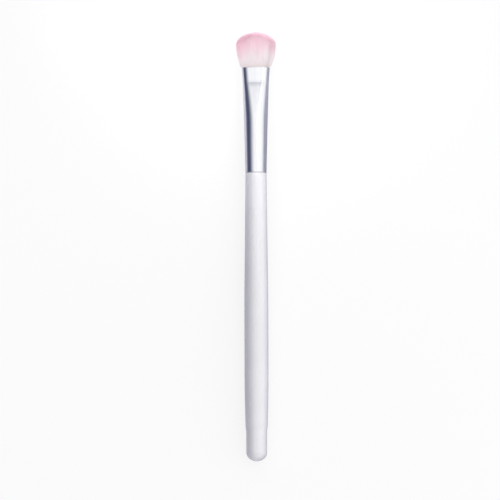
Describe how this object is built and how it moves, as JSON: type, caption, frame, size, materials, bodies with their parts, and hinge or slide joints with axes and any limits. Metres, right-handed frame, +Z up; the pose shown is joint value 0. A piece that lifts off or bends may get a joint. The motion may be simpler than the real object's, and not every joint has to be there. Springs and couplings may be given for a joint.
{
  "type": "eyeshadow brush",
  "caption": "Slim eyeshadow brush: flared, domed tuft of pink-tipped hair, aluminium ferrule pressed flat at its mouth, and a turned handle in white lacquer.",
  "frame": {"origin": "on the surface that the lying brush rests on, under the middle of its length and width", "axes": "+X along the brush from the handle's rounded end to the hair, +Y across its width, +Z up, square to the flat faces of the mouth and the hair"},
  "size_m": [0.1626, 0.0148, 0.009],
  "materials": {
    "white_lacquer": "turned birch under glossy white lacquer",
    "polished_aluminium": "bright drawn and polished",
    "dyed_hair": "soft hair, cream at the root and pink at the tip",
    "set_epoxy": "set casting glue",
    "wood_glue": "set adhesive film"
  },
  "bodies": {
    "root": {"handle": "white_lacquer", "ferrule": "polished_aluminium", "bristles": "dyed_hair", "root_glue": "set_epoxy", "tenon_glue": "wood_glue"}
  },
  "joints": []
}
